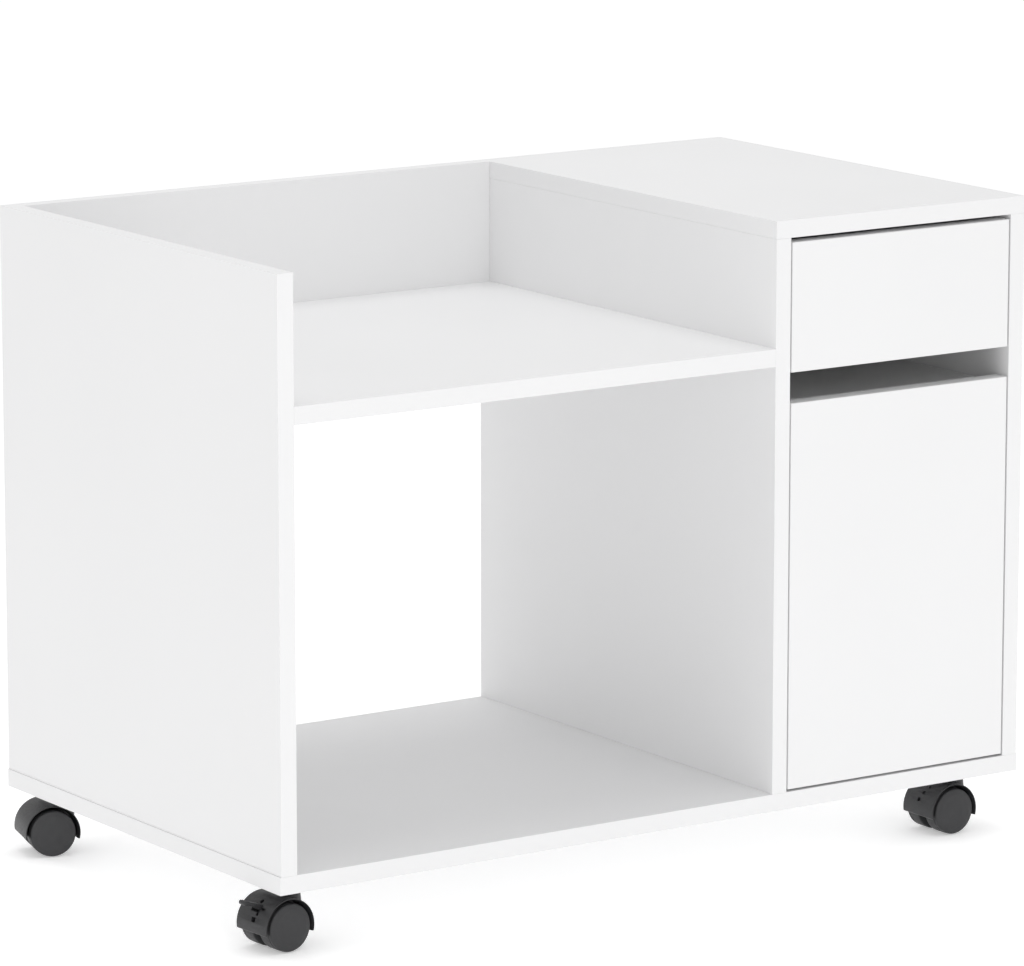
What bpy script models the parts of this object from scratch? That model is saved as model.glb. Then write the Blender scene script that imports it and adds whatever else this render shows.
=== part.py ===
"""Mobile printer stand: an open shelf bay beside a drawer-and-door cabinet, on four twin-wheel casters.

Frame: the origin is on the floor under the middle of the stand, +X to the right, -Y to the front, +Z up.
The base panel lies under the whole stand. The left side, the divider and the right side stand on it, the
top panel lies over the divider and the right side, and the shelf joins the left side to the divider.
"""
from math import cos, pi, radians, sin

import bmesh
import bpy
from mathutils import Matrix, Vector

MM = 0.001

# Overall size
WIDTH = 750 * MM
DEPTH = 440 * MM
HEIGHT = 555 * MM
CASTER_HEIGHT = 53 * MM

# Boards
BOARD = 15 * MM
THIN_BOARD = 12 * MM
HARDBOARD = 3 * MM
GROOVE_DEPTH = 5 * MM
FIT = 0.3 * MM
SIDE_INSET = 1 * MM
CABINET_WIDTH = 262 * MM
SHELF_TOP = 448 * MM
MIDDLE_PANEL_TOP = 394 * MM
MIDDLE_PANEL_SETBACK = 45 * MM
BACK_PANEL_SETBACK = 15 * MM

# Drawer front and door, flush with the front edges of the boards around them
FRONT_SIDE_GAP = 1.5 * MM
DRAWER_TOP_GAP = 4 * MM
DRAWER_FRONT_HEIGHT = 109.5 * MM
FINGER_GAP = 26 * MM
DOOR_BOTTOM_GAP = 2 * MM

# Drawer box
DRAWER_SIDE_GAP = 12.5 * MM
DRAWER_BOX_DEPTH = 350 * MM
DRAWER_BOX_HEIGHT = 80 * MM
DRAWER_BOX_BOTTOM = 448.5 * MM
DRAWER_BOTTOM_RISE = 9 * MM

# Roller runners of the drawer; "reach" is the distance inwards from the board that carries the runner
SHEET = 1.2 * MM
CHANNEL_LOW = 450 * MM
CHANNEL_INNER_HEIGHT = 16 * MM
CHANNEL_REACH = 9.5 * MM
CHANNEL_LENGTH = 350 * MM
FLANGE_REACH = 3 * MM
LIP_WIDTH = 11 * MM
ROLLER_WIDTH = 6.4 * MM
ROLLER_PIN_RADIUS = 2.5 * MM
ROLLER_RIM = 0.6 * MM
ROLLER_END_INSET = 9 * MM
CHANNEL_SETBACK = 5 * MM
PIN_HEAD = 0.8 * MM
PIN_HEAD_OVERHANG = 1.3 * MM
RUNNING_GAP = 0.1 * MM

# Hinges, each with its cup sunk in the back of the door
HINGE_HEIGHTS = {"lower": 150 * MM, "upper": 320 * MM}
CUP_RADIUS = 17.4 * MM
CUP_DEPTH = 11.3 * MM
CUP_WALL = 1 * MM
CUP_FLANGE = 1.2 * MM
CUP_RIM_WIDTH = 2 * MM
CUP_FROM_DOOR_EDGE = 22.5 * MM
WING_OFFSET = 9.5 * MM
WING_SIZE = (13 * MM, 56 * MM)
HINGE_PLATE_SETBACK = 52 * MM
HINGE_PLATE = 3 * MM
PLATE_BASE_REAR = 28 * MM
PLATE_BASE_FRONT = -18 * MM
PLATE_BASE_HALF_HEIGHT = 9 * MM
PLATE_WING_HALF_DEPTH = 7 * MM
PLATE_WING_HALF_HEIGHT = 24 * MM
ARM_HEIGHT = 9 * MM
ARM_HALF_WIDTH = 7 * MM
ARM_NOSE = 1.7 * MM
ARM_REAR = 65 * MM

# Magnetic catch beside the door's free edge
CATCH_SIZE = (13.7 * MM, 33 * MM, 28 * MM)
CATCH_HEIGHT = 360 * MM
STRIKE_SIZE = (12 * MM, 1.2 * MM, 30 * MM)
STRIKE_FROM_DOOR_EDGE = 2 * MM

# Casters; each local frame has the swivel axis at x = 0 and the wheels trailing towards -X
CASTER_INSET_LEFT = 32 * MM
CASTER_INSET_RIGHT = 40 * MM
CASTER_INSET_DEPTH = 38 * MM
TRAIL = 14 * MM
WHEEL_RADIUS = 20 * MM
WHEEL_INNER_FACE = 4.9 * MM
WHEEL_OUTER_FACE = 21 * MM
WHEEL_DOME = 0.8 * MM
WHEEL_EDGE = 1.5 * MM
WHEEL_BORE_CLEARANCE = 1.2 * MM
AXLE_RADIUS = 3 * MM
AXLE_REACH = 13 * MM
HOOD_RADIUS = 24 * MM
HOOD_INNER_RADIUS = 21.2 * MM
HOOD_HALF_WIDTH = 20.5 * MM
HOOD_START = radians(-15)
HOOD_END = radians(192)
HOOD_STEPS = 30
WEB_HALF_WIDTH = 4.5 * MM
BOSS_RADIUS = 9 * MM
BOSS_BOTTOM = 28 * MM
BOSS_TOP = 47.2 * MM
KINGPIN_RADIUS = 4 * MM
KINGPIN_TIP_RADIUS = 2.5 * MM
KINGPIN_STEP = 39.8 * MM
KINGPIN_BOTTOM = 30 * MM
KINGPIN_COLLAR_RADIUS = 8 * MM
CASTER_PLATE = (38 * MM, 38 * MM, 2 * MM)
CASTER_PLATE_HOLE_RADIUS = 2.3 * MM
CASTER_PLATE_HOLE_SPACING = 28 * MM

# Brake lever, pivoted in a slot of the hood on the trailing side
LEVER_PIVOT = (-16.2 * MM, 15.6 * MM)
LEVER_LENGTH = 15.6 * MM
LEVER_THICKNESS = 3 * MM
LEVER_HALF_WIDTH = 5 * MM
LEVER_RISE = radians(13)
TRUNNION_RADIUS = 1 * MM
TRUNNION_REACH = 7.5 * MM
LEVER_TAPER = 0.8
SLOT_HALF_WIDTH = 6 * MM
SLOT_LOW = (-30 * MM, 3 * MM)
SLOT_HIGH = (-13.2 * MM, 30 * MM)

# Corner of the stand: (sign of x, sign of y, turn about the swivel axis, has a brake)
CASTERS = {
    "caster_fl": (-1, -1, radians(4), True),
    "caster_fr": (1, -1, 0, False),
    "caster_rl": (-1, 1, radians(-15.5), False),
    "caster_rr": (1, 1, pi, True),
}

SEGMENTS = 28
SMALL_SEGMENTS = 20
PIN_SEGMENTS = 10
HOLE_SEGMENTS = 12
ROUND_STEPS = 8
SMOOTH_ANGLE = radians(35)

FINISHES = {
    "melamine": ((0.86, 0.86, 0.87), 0.45, 0.0),
    "hardboard": ((0.80, 0.80, 0.80), 0.60, 0.0),
    "coated_steel": ((0.82, 0.82, 0.80), 0.35, 0.3),
    "steel": ((0.62, 0.63, 0.65), 0.28, 1.0),
    "nylon": ((0.75, 0.75, 0.72), 0.40, 0.0),
    "black_plastic": ((0.035, 0.035, 0.038), 0.48, 0.0),
    "tread": ((0.05, 0.05, 0.053), 0.55, 0.0),
}

# Planes that several boards share
LEFT = -WIDTH / 2
RIGHT = WIDTH / 2
FRONT = -DEPTH / 2
REAR = DEPTH / 2
BASE_TOP = CASTER_HEIGHT + BOARD
LEFT_SIDE_INNER = LEFT + SIDE_INSET + BOARD
RIGHT_SIDE_OUTER = RIGHT - SIDE_INSET
RIGHT_SIDE_INNER = RIGHT_SIDE_OUTER - BOARD
DIVIDER_LEFT = RIGHT_SIDE_OUTER - CABINET_WIDTH
DIVIDER_RIGHT = DIVIDER_LEFT + BOARD
TOP_PANEL_BOTTOM = HEIGHT - BOARD
DRAWER_FRONT_TOP = TOP_PANEL_BOTTOM - DRAWER_TOP_GAP
DRAWER_FRONT_BOTTOM = DRAWER_FRONT_TOP - DRAWER_FRONT_HEIGHT
DOOR_TOP = DRAWER_FRONT_BOTTOM - FINGER_GAP
DOOR_LEFT = DIVIDER_RIGHT + FRONT_SIDE_GAP
DOOR_RIGHT = RIGHT_SIDE_INNER - FRONT_SIDE_GAP
DOOR_BACK = FRONT + BOARD
BACK_PANEL_FRONT = REAR - BACK_PANEL_SETBACK


# ---- making and placing ----

def clear_scene():
    for piece in list(bpy.data.objects):
        bpy.data.objects.remove(piece, do_unlink=True)


def make_material(name, finish):
    color, roughness, metallic = FINISHES[finish]
    material = bpy.data.materials.new(name)
    material.use_nodes = True
    shader = material.node_tree.nodes["Principled BSDF"]
    shader.inputs["Base Color"].default_value = (*color, 1.0)
    shader.inputs["Roughness"].default_value = roughness
    shader.inputs["Metallic"].default_value = metallic
    return material


def add_piece(name, mesh, finish, at=(0, 0, 0), parent=None):
    piece = bpy.data.objects.new(name, mesh)
    bpy.context.scene.collection.objects.link(piece)
    mesh.materials.clear()
    mesh.materials.append(make_material(name + "_finish", finish))
    piece.location = at
    piece.parent = parent
    return piece


def add_empty(name, at, turn=0.0):
    empty = bpy.data.objects.new(name, None)
    bpy.context.scene.collection.objects.link(empty)
    empty.location = at
    empty.rotation_euler = (0, 0, turn)
    return empty


def mesh_from(bm, name="shape"):
    bmesh.ops.recalc_face_normals(bm, faces=bm.faces[:])
    mesh = bpy.data.meshes.new(name)
    bm.to_mesh(mesh)
    bm.free()
    return mesh


def smooth(mesh):
    mesh.shade_smooth()
    mesh.set_sharp_from_angle(angle=SMOOTH_ANGLE)
    return mesh


# ---- basic shapes ----

def box(low, high):
    """A box between two corners."""
    low, high = Vector(low), Vector(high)
    bm = bmesh.new()
    bmesh.ops.create_cube(bm, size=1.0)
    bmesh.ops.scale(bm, vec=high - low, verts=bm.verts[:])
    bmesh.ops.translate(bm, vec=(low + high) / 2, verts=bm.verts[:])
    return mesh_from(bm)


def turned(profile, segments=SEGMENTS, axis="Z"):
    """A solid turned about an axis, from (radius, height) points that start and end on the axis."""
    bm = bmesh.new()
    verts = [bm.verts.new((radius, 0, height)) for radius, height in profile]
    edges = [bm.edges.new(pair) for pair in zip(verts, verts[1:])]
    bmesh.ops.spin(
        bm,
        geom=verts + edges,
        cent=(0, 0, 0),
        axis=(0, 0, 1),
        angle=2 * pi,
        steps=segments,
        use_merge=True,
    )
    bmesh.ops.remove_doubles(bm, verts=bm.verts[:], dist=1e-6)
    turn = {"X": Matrix.Rotation(pi / 2, 3, "Y"), "Y": Matrix.Rotation(-pi / 2, 3, "X")}
    if axis in turn:
        bmesh.ops.rotate(bm, cent=(0, 0, 0), matrix=turn[axis], verts=bm.verts[:])
    return mesh_from(bm)


def cylinder(radius, low, high, segments=SEGMENTS, axis="Z"):
    return turned([(0, low), (radius, low), (radius, high), (0, high)], segments, axis)


def extruded(outline, low, high, axis="Y"):
    """An outline pushed along an axis: (x, z) points along Y, or (x, y) points along Z."""
    bm = bmesh.new()
    if axis == "Y":
        verts = [bm.verts.new((x, low, z)) for x, z in outline]
        step = (0, high - low, 0)
    else:
        verts = [bm.verts.new((x, y, low)) for x, y in outline]
        step = (0, 0, high - low)
    face = bm.faces.new(verts)
    result = bmesh.ops.extrude_face_region(bm, geom=[face])
    far_verts = [item for item in result["geom"] if isinstance(item, bmesh.types.BMVert)]
    bmesh.ops.translate(bm, vec=step, verts=far_verts)
    return mesh_from(bm)


def arc(radius, start, end, steps, center=(0, 0)):
    angles = [start + (end - start) * i / steps for i in range(steps + 1)]
    return [(center[0] + radius * cos(a), center[1] + radius * sin(a)) for a in angles]


def moved(mesh, offset):
    mesh.transform(Matrix.Translation(offset))
    return mesh


def combine(base, tool, operation):
    """One mesh from a Boolean between two meshes in the same frame."""
    scene = bpy.context.scene.collection.objects
    first = bpy.data.objects.new("boolean_base", base)
    second = bpy.data.objects.new("boolean_tool", tool)
    scene.link(first)
    scene.link(second)
    modifier = first.modifiers.new("boolean", "BOOLEAN")
    modifier.solver = "EXACT"
    modifier.operation = operation
    modifier.object = second
    graph = bpy.context.evaluated_depsgraph_get()
    result = bpy.data.meshes.new_from_object(first.evaluated_get(graph))
    bpy.data.objects.remove(first, do_unlink=True)
    bpy.data.objects.remove(second, do_unlink=True)
    return result


def joined(base, *others):
    for other in others:
        base = combine(base, other, "UNION")
    return base


def cut(base, *tools):
    for tool in tools:
        base = combine(base, tool, "DIFFERENCE")
    return base


# ---- boards ----

def add_board(name, low, high, grooves=(), finish="melamine", parent=None):
    """A board between two corners, with its origin at its centre and grooves given as corner pairs."""
    origin = (Vector(low) + Vector(high)) / 2
    mesh = cut(box(low, high), *[box(*groove) for groove in grooves])
    base = parent.location if parent else Vector()
    return add_piece(name, moved(mesh, -origin), finish, origin - base, parent)


def back_groove(low, high):
    """Groove for the hardboard back: x and z from the given corners, y across the hardboard."""
    return (
        (low[0], BACK_PANEL_FRONT - FIT, low[1]),
        (high[0], BACK_PANEL_FRONT + HARDBOARD + FIT, high[1]),
    )


def build_carcass():
    groove_left = DIVIDER_RIGHT - GROOVE_DEPTH - FIT
    groove_right = RIGHT_SIDE_INNER + GROOVE_DEPTH + FIT
    groove_low = BASE_TOP - GROOVE_DEPTH - FIT
    groove_high = TOP_PANEL_BOTTOM + GROOVE_DEPTH + FIT
    add_board(
        "bottom_panel",
        (LEFT, FRONT, CASTER_HEIGHT),
        (RIGHT, REAR, BASE_TOP),
        [back_groove((groove_left, groove_low), (groove_right, BASE_TOP + BOARD))],
    )
    add_board(
        "left_side_panel",
        (LEFT + SIDE_INSET, FRONT, BASE_TOP + FIT),
        (LEFT_SIDE_INNER, REAR, HEIGHT),
    )
    add_board(
        "divider_panel",
        (DIVIDER_LEFT, FRONT, BASE_TOP + FIT),
        (DIVIDER_RIGHT, REAR, TOP_PANEL_BOTTOM - FIT),
        [back_groove((groove_left, BASE_TOP - BOARD), (DIVIDER_RIGHT + BOARD, HEIGHT))],
    )
    add_board(
        "right_side_panel",
        (RIGHT_SIDE_INNER, FRONT, BASE_TOP + FIT),
        (RIGHT_SIDE_OUTER, REAR, TOP_PANEL_BOTTOM - FIT),
        [back_groove((RIGHT_SIDE_INNER - BOARD, BASE_TOP - BOARD), (groove_right, HEIGHT))],
    )
    add_board(
        "top_panel",
        (DIVIDER_LEFT, FRONT, TOP_PANEL_BOTTOM),
        (RIGHT_SIDE_OUTER, REAR, HEIGHT),
        [back_groove((groove_left, TOP_PANEL_BOTTOM - BOARD), (groove_right, groove_high))],
    )
    add_board(
        "printer_shelf",
        (LEFT_SIDE_INNER + FIT, FRONT, SHELF_TOP - BOARD),
        (DIVIDER_LEFT - FIT, BACK_PANEL_FRONT - FIT, SHELF_TOP),
    )
    add_board(
        "upper_back_panel",
        (LEFT_SIDE_INNER + FIT, BACK_PANEL_FRONT, SHELF_TOP - BOARD),
        (DIVIDER_LEFT - FIT, REAR, HEIGHT),
    )
    add_board(
        "cabinet_back_panel",
        (groove_left + FIT, BACK_PANEL_FRONT, groove_low + FIT),
        (groove_right - FIT, BACK_PANEL_FRONT + HARDBOARD, groove_high - FIT),
        finish="hardboard",
    )
    add_board(
        "middle_panel",
        (DIVIDER_RIGHT + FIT, FRONT + MIDDLE_PANEL_SETBACK, MIDDLE_PANEL_TOP - BOARD),
        (RIGHT_SIDE_INNER - FIT, BACK_PANEL_FRONT - 2 * FIT, MIDDLE_PANEL_TOP),
    )


# ---- drawer and its runners ----

def build_drawer(drawer):
    left = DIVIDER_RIGHT + DRAWER_SIDE_GAP
    right = RIGHT_SIDE_INNER - DRAWER_SIDE_GAP
    front = DOOR_BACK + FIT
    rear = DOOR_BACK + DRAWER_BOX_DEPTH
    low = DRAWER_BOX_BOTTOM
    high = low + DRAWER_BOX_HEIGHT
    floor_low = low + DRAWER_BOTTOM_RISE
    floor_high = floor_low + HARDBOARD
    groove_left = left + THIN_BOARD - GROOVE_DEPTH
    groove_right = right - THIN_BOARD + GROOVE_DEPTH
    groove = (
        (groove_left - FIT, DOOR_BACK - GROOVE_DEPTH - FIT, floor_low - FIT),
        (groove_right + FIT, rear - THIN_BOARD + GROOVE_DEPTH + FIT, floor_high + FIT),
    )
    add_board(
        "drawer_front",
        (DOOR_LEFT, FRONT, DRAWER_FRONT_BOTTOM),
        (DOOR_RIGHT, DOOR_BACK, DRAWER_FRONT_TOP),
        [groove],
        parent=drawer,
    )
    for side, near in (("left", left), ("right", right - THIN_BOARD)):
        add_board(
            f"drawer_side_{side}",
            (near, front, low),
            (near + THIN_BOARD, rear, high),
            [groove],
            parent=drawer,
        )
    add_board(
        "drawer_back",
        (left + THIN_BOARD + FIT, rear - THIN_BOARD, low),
        (right - THIN_BOARD - FIT, rear, high),
        [groove],
        parent=drawer,
    )
    add_board(
        "drawer_bottom",
        (groove_left, DOOR_BACK - GROOVE_DEPTH, floor_low),
        (groove_right, rear - THIN_BOARD + GROOVE_DEPTH, floor_high),
        finish="hardboard",
        parent=drawer,
    )


def roller_mesh(radius):
    """A nylon runner roller about its own centre, bored for its pin, with eased rims."""
    half = ROLLER_WIDTH / 2
    bore = ROLLER_PIN_RADIUS + RUNNING_GAP
    face = radius - ROLLER_RIM
    rim = half - ROLLER_RIM
    profile = [(0, -half), (face, -half), (radius, -rim), (radius, rim), (face, half), (0, half)]
    body = turned(profile, SMALL_SEGMENTS, "X")
    return smooth(cut(body, cylinder(bore, -2 * half, 2 * half, SMALL_SEGMENTS, "X")))


def pin_mesh(root, tip, y, z):
    """A riveted pin along X from a sheet at root to a retaining head that ends at tip."""
    toward = 1 if tip > root else -1
    length = abs(tip - root)
    neck = length - PIN_HEAD
    head_radius = ROLLER_PIN_RADIUS + PIN_HEAD_OVERHANG
    profile = [(0, 0), (ROLLER_PIN_RADIUS, 0), (ROLLER_PIN_RADIUS, neck)]
    profile += [(head_radius, neck), (head_radius, length), (0, length)]
    mesh = turned(profile, SMALL_SEGMENTS, "X")
    mesh.transform(Matrix.Translation((root, y, z)) @ Matrix.Scale(toward, 4, (1, 0, 0)))
    if toward < 0:
        mesh.flip_normals()
    return mesh


def build_runner(side, face, inward, drawer):
    """The two steel members of one runner and their two rollers; inward is +1 or -1 along X."""
    def at(reach):
        return face + inward * reach

    web = FIT + SHEET
    floor = CHANNEL_LOW + SHEET
    ceiling = floor + CHANNEL_INNER_HEIGHT
    flange_top = ceiling - FIT
    flange_low = flange_top - SHEET
    radius = (flange_low - floor) / 2 - FIT
    roller_z = (flange_low + floor) / 2
    member_web = DRAWER_SIDE_GAP - FIT
    lip_top = DRAWER_BOX_BOTTOM - FIT
    lip_low = lip_top - SHEET
    channel_front = DOOR_BACK + CHANNEL_SETBACK
    channel_rear = channel_front + CHANNEL_LENGTH
    member_rear = DOOR_BACK + DRAWER_BOX_DEPTH
    front_roller_y = channel_front + ROLLER_END_INSET
    rear_roller_y = member_rear - ROLLER_END_INSET

    channel = [
        (at(FIT), CHANNEL_LOW),
        (at(CHANNEL_REACH), CHANNEL_LOW),
        (at(CHANNEL_REACH), floor),
        (at(web), floor),
        (at(web), ceiling),
        (at(CHANNEL_REACH), ceiling),
        (at(CHANNEL_REACH), ceiling + SHEET),
        (at(FIT), ceiling + SHEET),
    ]
    member = [
        (at(FLANGE_REACH), flange_low),
        (at(member_web - SHEET), flange_low),
        (at(member_web - SHEET), lip_low),
        (at(member_web + LIP_WIDTH), lip_low),
        (at(member_web + LIP_WIDTH), lip_top),
        (at(member_web), lip_top),
        (at(member_web), flange_top),
        (at(FLANGE_REACH), flange_top),
    ]
    clear = FIT + RUNNING_GAP
    front_roller_reach = web + clear
    front_tip = front_roller_reach + ROLLER_WIDTH + clear + PIN_HEAD
    rear_roller_reach = member_web - SHEET - clear - ROLLER_WIDTH
    rear_tip = rear_roller_reach - clear - PIN_HEAD
    front_pin = pin_mesh(at(web - SHEET / 2), at(front_tip), front_roller_y, roller_z)
    rear_pin = pin_mesh(at(member_web - SHEET / 2), at(rear_tip), rear_roller_y, roller_z)

    add_piece(
        f"runner_{side}_cabinet",
        smooth(joined(extruded(channel, channel_front, channel_rear), front_pin)),
        "coated_steel",
    )
    add_piece(
        f"runner_{side}_drawer",
        moved(
            smooth(joined(extruded(member, DOOR_BACK + FIT, member_rear), rear_pin)),
            -drawer.location,
        ),
        "coated_steel",
        parent=drawer,
    )
    front_center = (at(front_roller_reach + ROLLER_WIDTH / 2), front_roller_y, roller_z)
    rear_center = (at(rear_roller_reach + ROLLER_WIDTH / 2), rear_roller_y, roller_z)
    add_piece(f"roller_{side}_cabinet", roller_mesh(radius), "nylon", front_center)
    rear_center = Vector(rear_center) - drawer.location
    add_piece(f"roller_{side}_drawer", roller_mesh(radius), "nylon", rear_center, drawer)


# ---- door, hinges and catch ----

def hinge_cup_mesh():
    """A hollow cup with a rim and two screw wings; its axis is Y, its mouth at +Y, its rim under y = 0."""
    rim = CUP_RADIUS + CUP_RIM_WIDTH
    base = FIT
    top = FIT + CUP_FLANGE
    bottom = -CUP_DEPTH
    floor = bottom + CUP_WALL
    inner = CUP_RADIUS - CUP_WALL
    profile = [(0, bottom), (CUP_RADIUS, bottom), (CUP_RADIUS, base), (rim, base)]
    profile += [(rim, top), (inner, top), (inner, floor), (0, floor)]
    cup = turned(profile, SEGMENTS, "Y")
    width, height = WING_SIZE
    wings = []
    for end in (-1, 1):
        low, high = sorted((end * (inner - CUP_WALL), end * height / 2))
        near = -WING_OFFSET - width / 2
        wings.append(box((near, base, low), (near + width, top, high)))
    mouth = cylinder(inner, floor, 2 * top, SEGMENTS, "Y")
    return smooth(cut(joined(cup, *wings), mouth))


def hinge_arm_outline():
    """The cranked arm seen from above, as (x, y) from the board's face and the door's back."""
    plate_face = -(HINGE_PLATE + 2 * FIT)
    inner = plate_face - ARM_HEIGHT
    return [
        (plate_face, ARM_REAR),
        (inner, ARM_REAR),
        (inner - 1 * MM, 27 * MM),
        (inner - 13.5 * MM, 13 * MM),
        (inner - 17 * MM, ARM_NOSE),
        (inner - 8 * MM, ARM_NOSE),
        (inner - 5 * MM, 11 * MM),
        (inner + 4.5 * MM, 21 * MM),
        (plate_face, 27 * MM),
    ]


def hinge_plate_mesh():
    """The cross-shaped plate on the board: a long base with two screw wings, centred on its screws."""
    near = -HINGE_PLATE - FIT
    base = box(
        (near, PLATE_BASE_FRONT, -PLATE_BASE_HALF_HEIGHT),
        (-FIT, PLATE_BASE_REAR, PLATE_BASE_HALF_HEIGHT),
    )
    wings = box(
        (near, -PLATE_WING_HALF_DEPTH, -PLATE_WING_HALF_HEIGHT),
        (-FIT, PLATE_WING_HALF_DEPTH, PLATE_WING_HALF_HEIGHT),
    )
    return joined(base, wings)


def build_door(door):
    cup_x = DOOR_RIGHT - CUP_FROM_DOOR_EDGE
    panel = box((DOOR_LEFT, FRONT, BASE_TOP + DOOR_BOTTOM_GAP), (DOOR_RIGHT, DOOR_BACK, DOOR_TOP))
    for height in HINGE_HEIGHTS.values():
        recess = cylinder(CUP_RADIUS + FIT, -CUP_DEPTH - FIT, CUP_DEPTH, SEGMENTS, "Y")
        panel = cut(panel, moved(recess, (cup_x, DOOR_BACK, height)))
    add_piece("door_panel", moved(panel, -door.location), "melamine", parent=door)

    for level, height in HINGE_HEIGHTS.items():
        cup_at = Vector((cup_x, DOOR_BACK, height)) - door.location
        add_piece(f"hinge_{level}_cup", hinge_cup_mesh(), "steel", cup_at, door)
        arm = extruded(hinge_arm_outline(), -ARM_HALF_WIDTH, ARM_HALF_WIDTH, "Z")
        add_piece(f"hinge_{level}_arm", arm, "steel", (RIGHT_SIDE_INNER, DOOR_BACK, height))
        plate_at = (RIGHT_SIDE_INNER, FRONT + HINGE_PLATE_SETBACK, height)
        add_piece(f"hinge_{level}_plate", hinge_plate_mesh(), "steel", plate_at)

    low = Vector((DOOR_LEFT + STRIKE_FROM_DOOR_EDGE, DOOR_BACK + FIT, CATCH_HEIGHT - STRIKE_SIZE[2] / 2))
    add_board("catch_strike_plate", low, low + Vector(STRIKE_SIZE), finish="steel", parent=door)
    catch_front = low.y + STRIKE_SIZE[1] + FIT
    low = Vector((DIVIDER_RIGHT + FIT, catch_front, CATCH_HEIGHT - CATCH_SIZE[2] / 2))
    add_board("catch_body", low, low + Vector(CATCH_SIZE), finish="black_plastic")


# ---- casters ----

def wheel_mesh(side):
    """One wheel about the middle of the axle; side is -1 or +1 along Y. Its bore is blind."""
    inner = WHEEL_INNER_FACE
    outer = WHEEL_OUTER_FACE
    bore = AXLE_RADIUS + RUNNING_GAP
    bore_end = AXLE_REACH + WHEEL_BORE_CLEARANCE
    face_radius = WHEEL_RADIUS - WHEEL_EDGE
    profile = [
        (0, bore_end),
        (bore, bore_end),
        (bore, inner),
        (face_radius, inner),
        (WHEEL_RADIUS, inner + WHEEL_EDGE),
        (WHEEL_RADIUS, outer - WHEEL_EDGE),
        (face_radius, outer),
        (0, outer + WHEEL_DOME),
    ]
    mesh = turned(profile, SEGMENTS, "Y")
    if side < 0:
        mesh.transform(Matrix.Scale(-1, 4, (0, 1, 0)))
        mesh.flip_normals()
    return smooth(mesh)


def hood_mesh(has_brake):
    """The hood about the middle of the axle: a shell over both wheels, a web between them and a boss."""
    outline = arc(HOOD_RADIUS, HOOD_START, HOOD_END, HOOD_STEPS)
    shell = extruded(outline, -HOOD_HALF_WIDTH, HOOD_HALF_WIDTH)
    boss = moved(cylinder(BOSS_RADIUS, BOSS_BOTTOM, BOSS_TOP), (TRAIL, 0, -WHEEL_RADIUS))
    cavities = []
    for side in (-1, 1):
        low, high = sorted((side * WEB_HALF_WIDTH, side * 2 * HOOD_HALF_WIDTH))
        cavities.append(cylinder(HOOD_INNER_RADIUS, low, high, 2 * SEGMENTS, "Y"))
    tip_bore = KINGPIN_TIP_RADIUS + RUNNING_GAP
    pin_bore = KINGPIN_RADIUS + RUNNING_GAP
    bore_top = BOSS_TOP + BOARD
    bore_profile = [
        (0, KINGPIN_BOTTOM - FIT),
        (tip_bore, KINGPIN_BOTTOM - FIT),
        (tip_bore, KINGPIN_STEP - FIT),
        (pin_bore, KINGPIN_STEP - FIT),
        (pin_bore, bore_top),
        (0, bore_top),
    ]
    kingpin_bore = moved(turned(bore_profile, SMALL_SEGMENTS), (TRAIL, 0, -WHEEL_RADIUS))
    reach = 2 * WEB_HALF_WIDTH
    axle_bore = cylinder(AXLE_RADIUS + RUNNING_GAP, -reach, reach, SMALL_SEGMENTS, "Y")
    mesh = cut(joined(shell, boss), *cavities, kingpin_bore, axle_bore)
    if has_brake:
        slot = box(
            (SLOT_LOW[0], -SLOT_HALF_WIDTH, SLOT_LOW[1]),
            (SLOT_HIGH[0], SLOT_HALF_WIDTH, SLOT_HIGH[1]),
        )
        reach = TRUNNION_REACH + FIT
        trunnion_hole = cylinder(TRUNNION_RADIUS + RUNNING_GAP, -reach, reach, PIN_SEGMENTS, "Y")
        moved(trunnion_hole, (LEVER_PIVOT[0], 0, LEVER_PIVOT[1]))
        mesh = cut(mesh, slot, trunnion_hole)
    return smooth(mesh)


def lever_mesh():
    """The brake lever about its pivot: a flat pedal that rises away from the hood, with two trunnions."""
    half = LEVER_THICKNESS / 2
    outline = arc(half, -pi / 2, pi / 2, ROUND_STEPS)
    outline += arc(half * LEVER_TAPER, pi / 2, 3 * pi / 2, ROUND_STEPS, (-LEVER_LENGTH, 0))
    pedal = extruded(outline, -LEVER_HALF_WIDTH, LEVER_HALF_WIDTH)
    trunnion = cylinder(TRUNNION_RADIUS, -TRUNNION_REACH, TRUNNION_REACH, PIN_SEGMENTS, "Y")
    mesh = joined(pedal, trunnion)
    mesh.transform(Matrix.Rotation(LEVER_RISE, 4, "Y"))
    return smooth(mesh)


def caster_plate_mesh():
    """The mounting plate about the swivel axis, with its top face just under the bottom panel."""
    length, width, thickness = CASTER_PLATE
    high = CASTER_HEIGHT - FIT
    mesh = box((-length / 2, -width / 2, high - thickness), (length / 2, width / 2, high))
    for x_side in (-1, 1):
        for y_side in (-1, 1):
            low = high - 2 * thickness
            hole = cylinder(CASTER_PLATE_HOLE_RADIUS, low, high + thickness, HOLE_SEGMENTS)
            offset = CASTER_PLATE_HOLE_SPACING / 2
            mesh = cut(mesh, moved(hole, (x_side * offset, y_side * offset, 0)))
    return smooth(mesh)


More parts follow.
